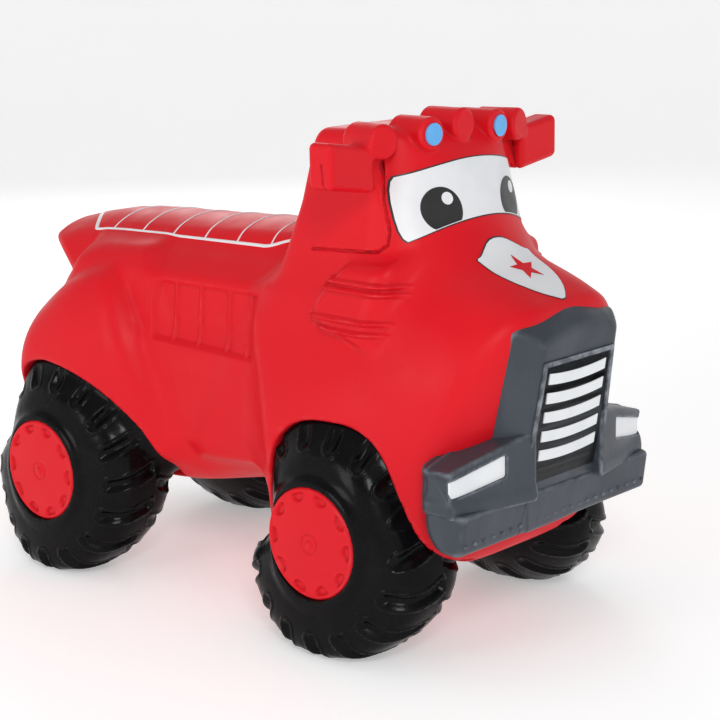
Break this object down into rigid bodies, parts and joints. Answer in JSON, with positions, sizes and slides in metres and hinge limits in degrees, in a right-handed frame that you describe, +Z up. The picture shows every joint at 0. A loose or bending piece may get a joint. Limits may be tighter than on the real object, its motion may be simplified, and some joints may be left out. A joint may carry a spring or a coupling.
{
  "type": "inflatable ride-on fire truck",
  "caption": "Inflatable bouncy ride-on toy truck in soft PVC: saddle, cab with side grips, face windscreen, grille, fat moulded tyres and an air valve plug.",
  "frame": {"origin": "on the floor, under the middle of the truck's bounding box", "axes": "+Z up, the truck's front faces -Y, its right side is -X"},
  "size_m": [0.315, 0.61, 0.4385],
  "materials": {
    "red_pvc": "satin soft PVC skin",
    "black_tyre": "glossy black painted PVC",
    "grey_paint": "satin dark grey paint",
    "white_paint": "printed white",
    "black_paint": "printed black",
    "blue_paint": "printed sky blue",
    "valve_plastic": "semi-hard PVC"
  },
  "bodies": {
    "truck": {"badge_star": "red_pvc", "bonnet_badge": "white_paint", "bumper": "grey_paint", "bumper_rivets": "grey_paint", "cab": "red_pvc", "eye_highlight_left": "white_paint", "eye_highlight_right": "white_paint", "grille_frame": "grey_paint", "grille_panel": "black_paint", "grille_slat_1": "white_paint", "grille_slat_2": "white_paint", "grille_slat_3": "white_paint", "grille_slat_4": "white_paint", "grille_slat_5": "white_paint", "grille_surround": "grey_paint", "handle_left": "red_pvc", "handle_right": "red_pvc", "headlight_housing_left": "grey_paint", "headlight_housing_right": "grey_paint", "headlight_lens_left": "white_paint", "headlight_lens_right": "white_paint", "hub_cap_front_left": "red_pvc", "hub_cap_front_right": "red_pvc", "hub_cap_rear_left": "red_pvc", "hub_cap_rear_right": "red_pvc", "hull_front": "red_pvc", "hull_rear": "red_pvc", "hull_waist": "red_pvc", "lamp_lens_left": "blue_paint", "lamp_lens_right": "blue_paint", "pupil_left": "black_paint", "pupil_right": "black_paint", "roof_lamp_1": "red_pvc", "roof_lamp_2": "red_pvc", "roof_lamp_3": "red_pvc", "roof_lamp_4": "red_pvc", "roof_lamp_5": "red_pvc", "seat_deck": "red_pvc", "seat_piping": "white_paint", "side_stack_left": "red_pvc", "side_stack_right": "red_pvc", "step_block_left": "red_pvc", "step_block_right": "red_pvc", "tyre_front_left": "black_tyre", "tyre_front_right": "black_tyre", "tyre_rear_left": "black_tyre", "tyre_rear_right": "black_tyre", "valve_boss": "red_pvc", "windscreen_panel": "white_paint"},
    "valve_plug": {"valve_plug": "valve_plastic"}
  },
  "joints": [
    {"name": "valve_plug_pull", "type": "slide", "parent": "truck", "child": "valve_plug", "axis": [0, 1, 0], "range_m": [0, 0.018]}
  ]
}
